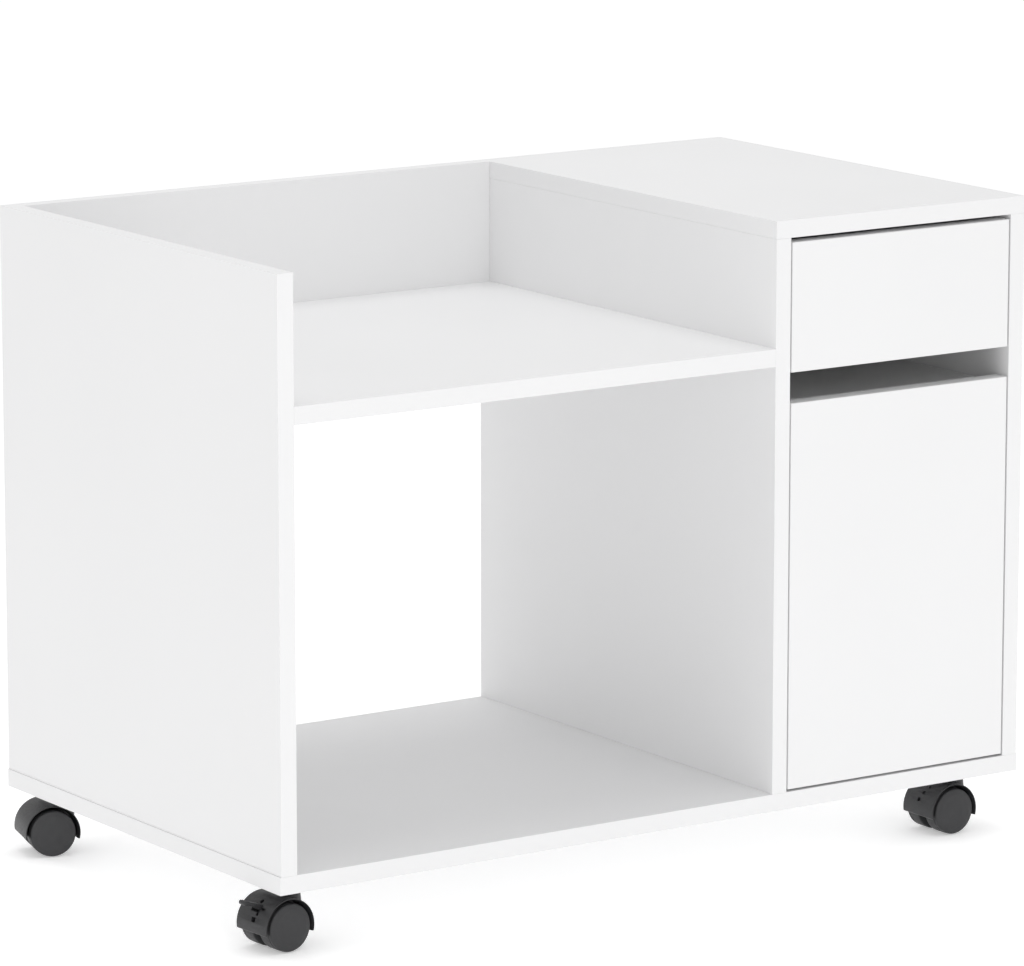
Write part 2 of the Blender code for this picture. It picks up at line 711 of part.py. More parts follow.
def kingpin_mesh():
    """The stepped pin that the hood swivels on, with the collar that carries the load."""
    collar_top = CASTER_HEIGHT - CASTER_PLATE[2] - 2 * FIT
    collar_low = BOSS_TOP + FIT
    profile = [
        (0, KINGPIN_BOTTOM),
        (KINGPIN_TIP_RADIUS, KINGPIN_BOTTOM),
        (KINGPIN_TIP_RADIUS, KINGPIN_STEP),
        (KINGPIN_RADIUS, KINGPIN_STEP),
        (KINGPIN_RADIUS, collar_low),
        (KINGPIN_COLLAR_RADIUS, collar_low),
        (KINGPIN_COLLAR_RADIUS, collar_top),
        (0, collar_top),
    ]
    return smooth(turned(profile, SMALL_SEGMENTS))


def build_caster(name, x_side, y_side, turn, has_brake):
    inset = CASTER_INSET_LEFT if x_side < 0 else CASTER_INSET_RIGHT
    at = (x_side * (WIDTH / 2 - inset), y_side * (DEPTH / 2 - CASTER_INSET_DEPTH), 0)
    swivel = add_empty(f"{name}_swivel_axis", at, turn)
    axle_at = (-TRAIL, 0, WHEEL_RADIUS)
    add_piece(f"{name}_plate", caster_plate_mesh(), "steel", at)
    add_piece(f"{name}_kingpin", kingpin_mesh(), "steel", at)
    add_piece(f"{name}_hood", hood_mesh(has_brake), "black_plastic", axle_at, swivel)
    axle = smooth(cylinder(AXLE_RADIUS, -AXLE_REACH, AXLE_REACH, SMALL_SEGMENTS, "Y"))
    add_piece(f"{name}_axle", axle, "steel", axle_at, swivel)
    add_piece(f"{name}_wheel_1", wheel_mesh(-1), "tread", axle_at, swivel)
    add_piece(f"{name}_wheel_2", wheel_mesh(1), "tread", axle_at, swivel)
    if has_brake:
        pivot = (LEVER_PIVOT[0] - TRAIL, 0, LEVER_PIVOT[1] + WHEEL_RADIUS)
        add_piece(f"{name}_brake_lever", lever_mesh(), "black_plastic", pivot, swivel)


def main():
    clear_scene()
    build_carcass()
    drawer = add_empty("drawer_slide_axis", ((DOOR_LEFT + DOOR_RIGHT) / 2, FRONT, CHANNEL_LOW))
    build_drawer(drawer)
    build_runner("left", DIVIDER_RIGHT, 1, drawer)
    build_runner("right", RIGHT_SIDE_INNER, -1, drawer)
    door = add_empty("door_hinge_axis", (DOOR_RIGHT, FRONT, BASE_TOP))
    build_door(door)
    for name, (x_side, y_side, turn, has_brake) in CASTERS.items():
        build_caster(name, x_side, y_side, turn, has_brake)


main()
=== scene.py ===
"""Looks of the mobile printer stand: finished boards, fittings, casters, floor, light and camera."""
from math import atan2, cos, hypot, radians, sin

import bmesh
import bpy
from mathutils import Matrix, Vector


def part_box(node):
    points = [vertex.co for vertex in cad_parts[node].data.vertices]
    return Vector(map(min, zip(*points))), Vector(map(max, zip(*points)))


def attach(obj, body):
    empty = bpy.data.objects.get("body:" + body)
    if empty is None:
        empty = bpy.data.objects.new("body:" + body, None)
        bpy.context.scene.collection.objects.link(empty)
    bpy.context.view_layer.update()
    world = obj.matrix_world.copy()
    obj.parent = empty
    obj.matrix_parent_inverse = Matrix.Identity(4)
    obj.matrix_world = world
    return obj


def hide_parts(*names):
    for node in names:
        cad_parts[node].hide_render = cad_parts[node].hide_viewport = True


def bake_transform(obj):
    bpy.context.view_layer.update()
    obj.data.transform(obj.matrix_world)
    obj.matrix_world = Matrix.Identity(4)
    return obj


MM = 0.001

# Boards; butt ends are drawn out over the gap that the solids keep, up to a hairline seam
BOARD_EDGE_RADIUS = 0.27 * MM
FRONT_EDGE_RADIUS = 0.7 * MM
THIN_EDGE_RADIUS = 0.25 * MM
BOARD_GAP = 0.3 * MM
SEAM = 0.02 * MM

# Casters; a caster's own frame has its origin at the axle, +X towards the kingpin and +Y across
SHELL_RADIUS = 24.0
SHELL_HALF_WIDTH = 20.5
SHELL_START = -15
SHELL_END = 192
SHELL_STEPS = 84
CAVITY_RADIUS = 22.3
CAVITY_MOUTH_RADIUS = 23.45
WEB_HALF_WIDTH = 4.5
WHEEL_RADIUS = 20.0
WHEEL_INNER = 4.9
WHEEL_OUTER = 21.0
WHEEL_SEGMENTS = 96
AXLE_BORE = 3.1
KINGPIN_OFFSET = 14.0
KINGPIN_BORE = 4.2
PIVOT = (-16.2, 15.6)
LEVER_HALF_WIDTH = 5.0
LEVER_REACH = 17.0
LEVER_TAPER = 0.22
LEVER_TIP = (-15.4, 6.5)
LEVER_TIP_RADIUS = 2.0
PLATE_HOLE_OFFSET = 14.0

# Floor, light and camera
FLOOR_HALF_SIZE = 60.0
FLOOR_DROP = 0.0005
FLOOR_COLOR = (0.93, 0.93, 0.93)
FLOOR_GLOW = 0.34
WORLD_LIGHT = 0.74
LIGHT_TARGET = (0.0, 0.0, 0.3)
FRONT_LIGHT = {"at": (-1.2, -4.2, 0.75), "size": 1.5, "power": 20.0}
TOP_LIGHT = {"at": (-0.1, 0.2, 3.2), "size": 2.2, "power": 22.0}
CAMERA_PLACE = (-2.849, -4.201, 1.310)
CAMERA_YAW = radians(34.115)
CAMERA_PITCH = radians(11.128)
CAMERA_LENS = 213.4

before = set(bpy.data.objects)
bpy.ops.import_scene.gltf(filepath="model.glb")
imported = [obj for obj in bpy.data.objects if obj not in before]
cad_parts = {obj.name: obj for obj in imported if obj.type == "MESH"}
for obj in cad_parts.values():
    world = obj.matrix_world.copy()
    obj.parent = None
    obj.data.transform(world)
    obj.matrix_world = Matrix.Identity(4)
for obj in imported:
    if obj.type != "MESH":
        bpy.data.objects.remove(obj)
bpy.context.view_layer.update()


# ---- materials ----

def shader_material(name, color, roughness, metallic=0.0, specular=0.5):
    """A node material and its shader, with the values that are the same all over set on the shader."""
    material = bpy.data.materials.new(name)
    material.use_nodes = True
    shader = material.node_tree.nodes["Principled BSDF"]
    shader.inputs["Base Color"].default_value = (*color, 1.0)
    shader.inputs["Roughness"].default_value = roughness
    shader.inputs["Metallic"].default_value = metallic
    shader.inputs["Specular IOR Level"].default_value = specular
    return material, shader


def noise(tree, scale, detail=3.0, stretch=None):
    """Fine noise in the object's own metres, optionally stretched along an axis."""
    place = tree.nodes.new("ShaderNodeTexCoord")
    texture = tree.nodes.new("ShaderNodeTexNoise")
    texture.inputs["Scale"].default_value = scale
    texture.inputs["Detail"].default_value = detail
    source = place.outputs["Object"]
    if stretch:
        mapping = tree.nodes.new("ShaderNodeMapping")
        mapping.inputs["Scale"].default_value = stretch
        tree.links.new(source, mapping.inputs["Vector"])
        source = mapping.outputs["Vector"]
    tree.links.new(source, texture.inputs["Vector"])
    return texture


def vary_color(tree, shader, texture, low, high):
    ramp = tree.nodes.new("ShaderNodeValToRGB")
    ramp.color_ramp.elements[0].position = 0.3
    ramp.color_ramp.elements[1].position = 0.7
    ramp.color_ramp.elements[0].color = (*low, 1.0)
    ramp.color_ramp.elements[1].color = (*high, 1.0)
    tree.links.new(texture.outputs["Fac"], ramp.inputs["Fac"])
    tree.links.new(ramp.outputs["Color"], shader.inputs["Base Color"])


def vary_roughness(tree, shader, texture, low, high):
    spread = tree.nodes.new("ShaderNodeMapRange")
    spread.inputs["From Min"].default_value = 0.3
    spread.inputs["From Max"].default_value = 0.7
    spread.inputs["To Min"].default_value = low
    spread.inputs["To Max"].default_value = high
    tree.links.new(texture.outputs["Fac"], spread.inputs["Value"])
    tree.links.new(spread.outputs["Result"], shader.inputs["Roughness"])


def add_bump(tree, shader, texture, height, strength=1.0, below=None):
    """Surface relief of the given height in metres, on top of another bump if one is given."""
    bump = tree.nodes.new("ShaderNodeBump")
    bump.inputs["Strength"].default_value = strength
    bump.inputs["Distance"].default_value = height
    tree.links.new(texture.outputs["Fac"], bump.inputs["Height"])
    if below:
        tree.links.new(below.outputs["Normal"], bump.inputs["Normal"])
    tree.links.new(bump.outputs["Normal"], shader.inputs["Normal"])
    return bump


def shaded(color, share):
    return tuple(channel * share for channel in color)


def make_surface(name, color, roughness, metallic=0.0, specular=0.5, tone=0.97, spread=0.05,
                 patch=14.0, grain=1500.0, relief=0.02 * MM, wave=None, stretch=None):
    """A finish with soft tone patches, an uneven gloss and a fine grain; wave adds a broader relief."""
    material, shader = shader_material(name, color, roughness, metallic, specular)
    tree = material.node_tree
    patches = noise(tree, patch, 4.0, stretch)
    fine = noise(tree, grain, 2.0, stretch)
    vary_color(tree, shader, patches, shaded(color, tone), color)
    vary_roughness(tree, shader, noise(tree, patch * 4, 5.0, stretch), roughness - spread, roughness + spread)
    below = None
    if wave:
        below = add_bump(tree, shader, noise(tree, wave[0], 2.0), wave[1])
    add_bump(tree, shader, fine, relief, below=below)
    return material


WHITE = (0.862, 0.862, 0.866)
FINISH = {
    "melamine": make_surface("white_melamine", WHITE, 0.46, specular=0.4, tone=0.985, patch=5.0,
                             grain=1400.0, relief=0.012 * MM, wave=(180.0, 0.02 * MM)),
    "edge_band": make_surface("white_edge_band", (0.866, 0.866, 0.868), 0.36, specular=0.45, tone=0.985,
                              patch=20.0, grain=2600.0, relief=0.006 * MM, wave=(260.0, 0.012 * MM)),
    "hardboard": make_surface("white_hardboard", (0.80, 0.80, 0.795), 0.6, specular=0.3, tone=0.96,
                              patch=30.0, grain=900.0, relief=0.05 * MM),
    "coated_steel": make_surface("white_coated_steel", (0.80, 0.80, 0.78), 0.34, tone=0.98, patch=40.0,
                                 grain=700.0, relief=0.02 * MM),
    "steel": make_surface("nickel_plated_steel", (0.66, 0.66, 0.67), 0.24, metallic=1.0, tone=0.93,
                          spread=0.07, patch=60.0, grain=2400.0, relief=0.01 * MM),
    "brushed": make_surface("brushed_steel", (0.60, 0.60, 0.61), 0.32, metallic=1.0, tone=0.9,
                            spread=0.08, patch=90.0, grain=1200.0, relief=0.015 * MM,
                            stretch=(1.0, 1.0, 12.0)),
    "nylon": make_surface("white_nylon", (0.74, 0.74, 0.70), 0.42, tone=0.95, patch=90.0,
                          grain=1500.0, relief=0.02 * MM),
    "cap": make_surface("white_cap_plastic", (0.83, 0.83, 0.83), 0.38, tone=0.98, patch=60.0,
                        grain=2500.0, relief=0.01 * MM),
    "hood": make_surface("black_hood_plastic", (0.027, 0.027, 0.029), 0.45, tone=0.8, spread=0.07,
                         patch=160.0, grain=2600.0, relief=0.045 * MM, wave=(420.0, 0.02 * MM)),
    "disc": make_surface("grey_wheel_disc", (0.034, 0.034, 0.036), 0.5, specular=0.42, tone=0.88, spread=0.05,
                         patch=120.0, grain=3000.0, relief=0.03 * MM),
    "tread": make_surface("black_wheel_tread", (0.033, 0.033, 0.035), 0.58, tone=0.8, spread=0.08,
                          patch=200.0, grain=1800.0, relief=0.06 * MM),
    "catch": make_surface("white_catch_plastic", (0.78, 0.78, 0.77), 0.4, tone=0.97, patch=90.0,
                          grain=2400.0, relief=0.015 * MM),
    "magnet": make_surface("dark_magnet", (0.06, 0.055, 0.05), 0.55, tone=0.8, patch=300.0,
                           grain=1600.0, relief=0.05 * MM),
}


# ---- shapes; lengths in these functions are in millimetres unless they say otherwise ----

def mesh_from(bm, name="shape"):
    bmesh.ops.recalc_face_normals(bm, faces=bm.faces[:])
    mesh = bpy.data.meshes.new(name)
    bm.to_mesh(mesh)
    bm.free()
    return mesh


def rounded(points, steps=4):
    """A closed outline whose (x, y, radius) corners are rounded; (x, y) corners stay sharp."""
    outline = []
    for i, point in enumerate(points):
        corner = Vector(point[:2])
        if len(point) < 3:
            outline.append(tuple(corner))
            continue
        before = (Vector(points[i - 1][:2]) - corner).normalized()
        after = (Vector(points[(i + 1) % len(points)][:2]) - corner).normalized()
        half = before.angle(after) / 2
        reach = point[2] * cos(half) / sin(half)
        start, end = corner + before * reach, corner + after * reach
        for step in range(steps + 1):
            share = step / steps
            inner = start.lerp(corner, share)
            outer = corner.lerp(end, share)
            outline.append(tuple(inner.lerp(outer, share)))
    return outline


def turned(profile, segments=WHEEL_SEGMENTS, axis="Y", start=0.0, sweep=360.0):
    """A solid turned from a closed (radius, height) outline; a part turn is closed at both ends."""
    bm = bmesh.new()
    full = sweep >= 360.0
    count = segments if full else segments + 1
    rings = []
    for i in range(count):
        angle = radians(start + sweep * i / segments)
        ring = []
        for radius, height in profile:
            across, up = radius * cos(angle), radius * sin(angle)
            place = {"Y": (across, height, up), "Z": (across, up, height), "X": (height, across, up)}[axis]
            ring.append(bm.verts.new(Vector(place) * MM))
        rings.append(ring)
    size = len(profile)
    for i in range(segments):
        near, far = rings[i], rings[(i + 1) % count]
        for j in range(size):
            bm.faces.new((near[j], near[(j + 1) % size], far[(j + 1) % size], far[j]))
    if not full:
        bm.faces.new(rings[0])
        bm.faces.new(rings[-1])
    bmesh.ops.remove_doubles(bm, verts=bm.verts[:], dist=1e-7)
    return mesh_from(bm)


def cylinder(radius, low, high, segments=48, axis="Y"):
    return turned([(0, low), (radius, low), (radius, high), (0, high)], segments, axis)


def extruded(outline, low, high, axis="Y"):
    """An outline pushed along an axis: (x, z) points along Y, (x, y) along Z, or (y, z) along X."""
    bm = bmesh.new()
    ends = []
    for height in (low, high):
        places = {
            "Y": lambda a, b: (a, height, b),
            "Z": lambda a, b: (a, b, height),
            "X": lambda a, b: (height, a, b),
        }
        ends.append([bm.verts.new(Vector(places[axis](a, b)) * MM) for a, b in outline])
    bm.faces.new(ends[0])
    bm.faces.new(ends[1])
    for i in range(len(outline)):
        j = (i + 1) % len(outline)
        bm.faces.new((ends[0][i], ends[0][j], ends[1][j], ends[1][i]))
    return mesh_from(bm)


def block(low, high):
    return extruded([(low[0], low[1]), (high[0], low[1]), (high[0], high[1]), (low[0], high[1])],
                    low[2], high[2], "Z")


def ring_block(start, end, inner, outer, low, high, steps=10):
    """A piece of a tube about Y, between two angles in degrees."""
    profile = [(inner, low), (outer, low), (outer, high), (inner, high)]
    return turned(profile, steps, "Y", start, end - start)


def moved(mesh, x=0.0, y=0.0, z=0.0):
    mesh.transform(Matrix.Translation(Vector((x, y, z)) * MM))
    return mesh


def with_modifiers(mesh, *steps):
    """The mesh that a stack of modifiers makes, each given as its type and its settings."""
    holder = bpy.data.objects.new("holder", mesh)
    bpy.context.scene.collection.objects.link(holder)
    for kind, settings in steps:
        modifier = holder.modifiers.new(kind.lower(), kind)
        for setting, value in settings.items():
            setattr(modifier, setting, value)
    graph = bpy.context.evaluated_depsgraph_get()
    result = bpy.data.meshes.new_from_object(holder.evaluated_get(graph))
    bpy.data.objects.remove(holder, do_unlink=True)
    return result


def combined(base, tool, operation):
    other = bpy.data.objects.new("tool", tool)
    bpy.context.scene.collection.objects.link(other)
    result = with_modifiers(base, ("BOOLEAN", {"solver": "EXACT", "operation": operation, "object": other}))
    bpy.data.objects.remove(other, do_unlink=True)
    return result


def joined(base, *others):
    for other in others:
        base = combined(base, other, "UNION")
    return base


def cut(base, *tools):
    for tool in tools:
        base = combined(base, tool, "DIFFERENCE")
    return base


def bevelled(mesh, width, segments=2, angle=40.0):
    """Eased edges; the width is in metres."""
    return with_modifiers(mesh, ("BEVEL", {
        "width": width, "segments": segments, "limit_method": "ANGLE", "angle_limit": radians(angle),
        "use_clamp_overlap": True,
    }))


def smooth(mesh, angle=38.0):
    mesh.shade_smooth()
    mesh.set_sharp_from_angle(angle=radians(angle))
    return mesh


def merged(*meshes):
    """Several closed meshes as one mesh."""
    bm = bmesh.new()
    for mesh in meshes:
        bm.from_mesh(mesh)
    result = bpy.data.meshes.new("group")
    bm.to_mesh(result)
    bm.free()
    return result


def copied(mesh, matrix):
    twin = mesh.copy()
    twin.transform(matrix)
    return twin


def add_piece(name, mesh, finishes, body, replaces=()):
    """Puts a finished piece in the scene, on its body."""
    piece = bpy.data.objects.new(name, mesh)
    bpy.context.scene.collection.objects.link(piece)
    mesh.materials.clear()
    for finish in [finishes] if isinstance(finishes, str) else finishes:
        mesh.materials.append(FINISH[finish])
    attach(piece, body)
    if replaces:
        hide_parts(*replaces)
    return piece


def node_mesh(node):
    """The CAD node's solid, with its split points joined and its flat faces whole."""
    bm = bmesh.new()
    bm.from_mesh(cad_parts[node].data)
    bmesh.ops.remove_doubles(bm, verts=bm.verts[:], dist=1e-6)
    bmesh.ops.dissolve_limit(bm, angle_limit=radians(1.0), verts=bm.verts[:], edges=bm.edges[:])
    return mesh_from(bm)


def center(node):
    low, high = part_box(node)
    return (low + high) / 2


# ---- boards ----

BOARDS = {
    "cabinet": [
        "bottom_panel", "left_side_panel", "divider_panel", "right_side_panel", "top_panel",
        "printer_shelf", "upper_back_panel", "middle_panel",
    ],
    "drawer": ["drawer_front", "drawer_side_left", "drawer_side_right", "drawer_back"],
    "door": ["door_panel"],
}


# Ends of carcass boards that butt against another board: (axis, side)
BUTT_ENDS = {
    "left_side_panel": [("z", "low")],
    "divider_panel": [("z", "low"), ("z", "high")],
    "right_side_panel": [("z", "low"), ("z", "high")],
    "printer_shelf": [("x", "low"), ("x", "high"), ("y", "high")],
    "upper_back_panel": [("x", "low"), ("x", "high")],
    "middle_panel": [("x", "low"), ("x", "high")],
}


def close_seams(mesh, node):
    """Brings the board's butt ends up to its neighbours, so that only a hairline seam stays."""
    low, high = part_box(node)
    for axis, side in BUTT_ENDS.get(node, []):
        index = "xyz".index(axis)
        plane, reach = (low[index], SEAM - BOARD_GAP) if side == "low" else (high[index], BOARD_GAP - SEAM)
        for vert in mesh.vertices:
            if abs(vert.co[index] - plane) < 1e-5:
                vert.co[index] += reach


def board_mesh(node, radius):
    """The board with eased edges; its broad faces take the first finish and its edges the second."""
    low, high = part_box(node)
    size = high - low
    thin = min(range(3), key=lambda axis: size[axis])
    mesh = node_mesh(node)
    close_seams(mesh, node)
    mesh = bevelled(mesh, radius, 3, 60.0)
    for face in mesh.polygons:
        face.material_index = 0 if abs(face.normal[thin]) > cos(radians(20)) else 1
    return mesh


def add_boards():
    for body, nodes in BOARDS.items():
        for node in nodes:
            radius = FRONT_EDGE_RADIUS if node in ("drawer_front", "door_panel") else BOARD_EDGE_RADIUS
            add_piece(f"{node}_board", board_mesh(node, radius), ["melamine", "edge_band"], body,
                      [node])
    for node, body in (("cabinet_back_panel", "cabinet"), ("drawer_bottom", "drawer")):
        mesh = bevelled(node_mesh(node), THIN_EDGE_RADIUS, 2, 60.0)
        add_piece(f"{node}_board", mesh, "hardboard", body, [node])


# ---- small fittings ----

def cross_cutter(size, depth, top):
    """A cross-shaped recess cutter about Z."""
    arm = size * 0.22
    tools = []
    for length, width in ((size, arm), (arm, size)):
        tools.append(block((-length / 2, -width / 2, top - depth), (length / 2, width / 2, top + 1)))
    return tools


def screw_mesh(radius, height, dome=0.5):
    """A pan-head screw about Z, with its seat at z = 0 and a cross recess."""
    profile = rounded([(0, -0.4), (radius, -0.4), (radius, height - dome, dome * 0.8),
                       (radius * 0.55, height, dome), (0, height)], 4)
    head = turned(profile, 40, "Z")
    return smooth(cut(head, *cross_cutter(radius * 1.15, height * 0.7, height)))


def cap_mesh(radius=8.5, height=0.9):
    """A cover cap about Z for a cam fitting, with a soft rim and a pry notch."""
    profile = rounded([(0, -0.2), (radius, -0.2), (radius, height * 0.55, 0.3),
                       (radius - 1.4, height, 0.8), (0, height)], 4)
    cap = turned(profile, 56, "Z")
    notch = block((radius - 0.7, -1.2, 0.1), (radius + 1, 1.2, height + 1))
    return smooth(cut(cap, notch))


def placed(mesh, at, normal, spin=0.0):
    """A copy of a Z-up mesh that stands on a point (in metres) of a surface with this normal."""
    turn = Vector(normal).to_track_quat("Z", "Y").to_matrix().to_4x4()
    return copied(mesh, Matrix.Translation(at) @ turn @ Matrix.Rotation(spin, 4, "Z"))


def add_fasteners():
    cap = cap_mesh()
    screw = screw_mesh(4.0, 1.6)
    shelf_low, shelf_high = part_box("printer_shelf")
    back_low, back_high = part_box("upper_back_panel")
    top_low, top_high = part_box("top_panel")
    base_low, base_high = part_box("bottom_panel")
    divider_low, divider_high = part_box("divider_panel")
    front_low, front_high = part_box("drawer_front")
    inset = 34 * MM

    under_shelf = []
    for x in (shelf_low.x + inset, shelf_high.x - inset):
        for y in (shelf_low.y + 60 * MM, shelf_high.y - 60 * MM):
            under_shelf.append(placed(cap, (x, y, shelf_low.z), (0, 0, -1), 0.6))
    add_piece("shelf_cam_covers", merged(*under_shelf), "cap", "cabinet")

    behind = []
    for x in (back_low.x + inset, back_high.x - inset):
        for z in (back_low.z + 22 * MM, back_high.z - 26 * MM):
            behind.append(placed(cap, (x, back_high.y, z), (0, 1, 0), 0.3))
    add_piece("back_cam_covers", merged(*behind), "cap", "cabinet")

    under_top = []
    for x in (top_low.x + 15 * MM + inset, top_high.x - 15 * MM - inset):
        for y in (top_low.y + 60 * MM, top_high.y - 60 * MM):
            under_top.append(placed(cap, (x, y, top_low.z), (0, 0, -1), 0.2))
    add_piece("top_cam_covers", merged(*under_top), "cap", "cabinet")

    in_drawer = []
    for x in (front_low.x + 40 * MM, front_high.x - 40 * MM):
        in_drawer.append(placed(cap, (x, front_high.y, front_low.z + 62 * MM), (0, 1, 0), 0.5))
    add_piece("drawer_cam_covers", merged(*in_drawer), "cap", "drawer")

    under_base = []
    columns = (base_low.x + 8.5 * MM, (divider_low.x + divider_high.x) / 2, base_high.x - 8.5 * MM)
    for x in columns:
        for y in (base_low.y + 90 * MM, 0.0, base_high.y - 90 * MM):
            under_base.append(placed(screw, (x, y, base_low.z), (0, 0, -1), x * 40 + y * 9))
    add_piece("base_screws", merged(*under_base), "steel", "cabinet")


# ---- runners ----

def add_runners():
    screw = screw_mesh(3.2, 1.0)
    for side, inward in (("left", 1), ("right", -1)):
        for member, body in (("cabinet", "cabinet"), ("drawer", "drawer")):
            node = f"runner_{side}_{member}"
            mesh = smooth(bevelled(node_mesh(node), 0.2 * MM, 2, 50.0), 30.0)
            add_piece(f"{node}_member", mesh, "coated_steel", body, [node])
            roller = f"roller_{side}_{member}"
            low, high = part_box(roller)
            half = (high.x - low.x) / 2 / MM
            radius = (high.z - low.z) / 2 / MM
            outline = rounded([(2.6, -half), (radius - 1.8, -half, 0.5), (radius - 1.8, 0.5 - half, 0.3),
                               (radius, 0.5 - half, 0.6), (radius, half - 0.5, 0.6),
                               (radius - 1.8, half - 0.5, 0.3), (radius - 1.8, half, 0.5), (2.6, half)], 4)
            wheel = smooth(turned(outline, 64, "X"), 50.0)
            wheel.transform(Matrix.Translation(center(roller)))
            add_piece(f"{roller}_wheel", wheel, "nylon", roller, [roller])
        low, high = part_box(f"runner_{side}_cabinet")
        web = (low.x if inward > 0 else high.x) + inward * 1.2 * MM
        heads = []
        for y in (low.y + 45 * MM, (low.y + high.y) / 2, high.y - 45 * MM):
            heads.append(placed(screw, (web, y, (low.z + high.z) / 2), (inward, 0, 0), y * 30))
        add_piece(f"runner_{side}_screws", merged(*heads), "steel", "cabinet")


# ---- hinges and catch ----

def add_hinges():
    wing_screw = screw_mesh(3.8, 1.4)
    arm_screw = screw_mesh(3.0, 0.8)
    for level in ("lower", "upper"):
        arm_low, arm_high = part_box(f"hinge_{level}_arm")
        plate_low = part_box(f"hinge_{level}_plate")[0]
        cup_low, cup_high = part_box(f"hinge_{level}_cup")
        z = (arm_low.z + arm_high.z) / 2

        mesh = smooth(bevelled(node_mesh(f"hinge_{level}_arm"), 0.7 * MM, 3, 30.0), 40.0)
        add_piece(f"hinge_{level}_arm_pressing", mesh, "brushed", "cabinet",
                  [f"hinge_{level}_arm"])
        mesh = smooth(bevelled(node_mesh(f"hinge_{level}_plate"), 0.8 * MM, 3, 40.0))
        add_piece(f"hinge_{level}_plate_pressing", mesh, "steel", "cabinet",
                  [f"hinge_{level}_plate"])
        mesh = smooth(bevelled(node_mesh(f"hinge_{level}_cup"), 0.3 * MM, 2, 50.0))
        add_piece(f"hinge_{level}_cup_pressing", mesh, "steel", "door", [f"hinge_{level}_cup"])

        face = arm_high.x - 9 * MM
        heads = []
        for y, spin in ((arm_high.y - 12 * MM, 0.4), (arm_high.y - 28 * MM, 1.1)):
            heads.append(placed(arm_screw, (face, y, z), (-1, 0, 0), spin))
        for side in (-1, 1):
            middle = plate_low.y + 18 * MM
            heads.append(placed(wing_screw, (plate_low.x, middle, z + side * 18.5 * MM), (-1, 0, 0), side))
        add_piece(f"hinge_{level}_screws", merged(*heads), "steel", "cabinet")
        heads = []
        wing_x = cup_low.x + 7.5 * MM
        for side in (-1, 1):
            heads.append(placed(screw_mesh(3.3, 0.9), (wing_x, cup_high.y, z + side * 22.5 * MM),
                                (0, 1, 0), side * 0.7))
        add_piece(f"hinge_{level}_cup_screws", merged(*heads), "steel", "door")


def strip_mesh(line, low, high, steps=6):
    """A smooth upright strip along an (x, y) line."""
    points = []
    for i in range(len(line) - 1):
        a, b, c, d = (Vector(line[max(0, min(len(line) - 1, i + k))]) for k in (-1, 0, 1, 2))
        for step in range(steps):
            s = step / steps
            curve = b * 2 + (c - a) * s + (a * 2 - b * 5 + c * 4 - d) * s ** 2
            curve += (b * 3 - a - c * 3 + d) * s ** 3
            points.append(curve / 2)
    points.append(Vector(line[-1]))
    bm = bmesh.new()
    rows = [[bm.verts.new(Vector((p.x, p.y, z)) * MM) for p in points] for z in (low, high)]
    for i in range(len(points) - 1):
        bm.faces.new((rows[0][i], rows[0][i + 1], rows[1][i + 1], rows[1][i]))
    return mesh_from(bm)


def add_hinge_links():
    """A bent strap in each hinge that joins the arm on the board to the cup in the door."""
    for level in ("lower", "upper"):
        arm_low, arm_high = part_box(f"hinge_{level}_arm")
        cup = center(f"hinge_{level}_cup") / MM
        rear = (arm_high.x / MM - 6.0, arm_low.y / MM + 17.0)
        line = [rear, (rear[0] - 6.5, rear[1] - 7.5), (cup.x + 2.0, arm_low.y / MM + 3.0),
                (cup.x - 1.5, arm_low.y / MM - 3.5), (cup.x - 3.0, arm_low.y / MM - 8.5)]
        z = (arm_low.z + arm_high.z) / 2 / MM
        strap = with_modifiers(strip_mesh(line, z - 4.5, z + 4.5),
                               ("SOLIDIFY", {"thickness": 1.4 * MM, "offset": 0.0}),
                               ("BEVEL", {"width": 0.3 * MM, "segments": 2, "limit_method": "ANGLE"}))
        piece = bpy.data.objects.new(f"hinge_{level}_link", smooth(strap, 50.0))
        bpy.context.scene.collection.objects.link(piece)
        piece.data.materials.append(FINISH["steel"])
        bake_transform(piece)


def add_catch():
    low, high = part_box("catch_body")
    mesh = smooth(bevelled(node_mesh("catch_body"), 1.0 * MM, 3, 40.0))
    add_piece("catch_body_moulding", mesh, "catch", "cabinet", ["catch_body"])
    mesh = smooth(bevelled(node_mesh("catch_strike_plate"), 0.35 * MM, 2, 40.0))
    add_piece("catch_strike_pressing", mesh, "steel", "door", ["catch_strike_plate"])
    middle = (low + high) / 2
    strips = []
    for side in (-1, 1):
        x = middle.x / MM + side * 2.6
        strips.append(block((x - 0.6, low.y / MM - 0.25, low.z / MM + 4),
                            (x + 0.6, low.y / MM + 3, high.z / MM - 4)))
    add_piece("catch_pole_plates", merged(*strips), "steel", "cabinet")
    magnet = block((middle.x / MM - 1.9, low.y / MM - 0.1, low.z / MM + 4.6),
                   (middle.x / MM + 1.9, low.y / MM + 3, high.z / MM - 4.6))
    add_piece("catch_magnet", magnet, "magnet", "cabinet")
    screw = screw_mesh(2.8, 0.9)
    add_piece("catch_screws",
              merged(*[placed(screw, (high.x, y, middle.z), (1, 0, 0), y * 50)
                       for y in (low.y + 9 * MM, high.y - 7 * MM)]),
              "steel", "cabinet")


# ---- casters ----

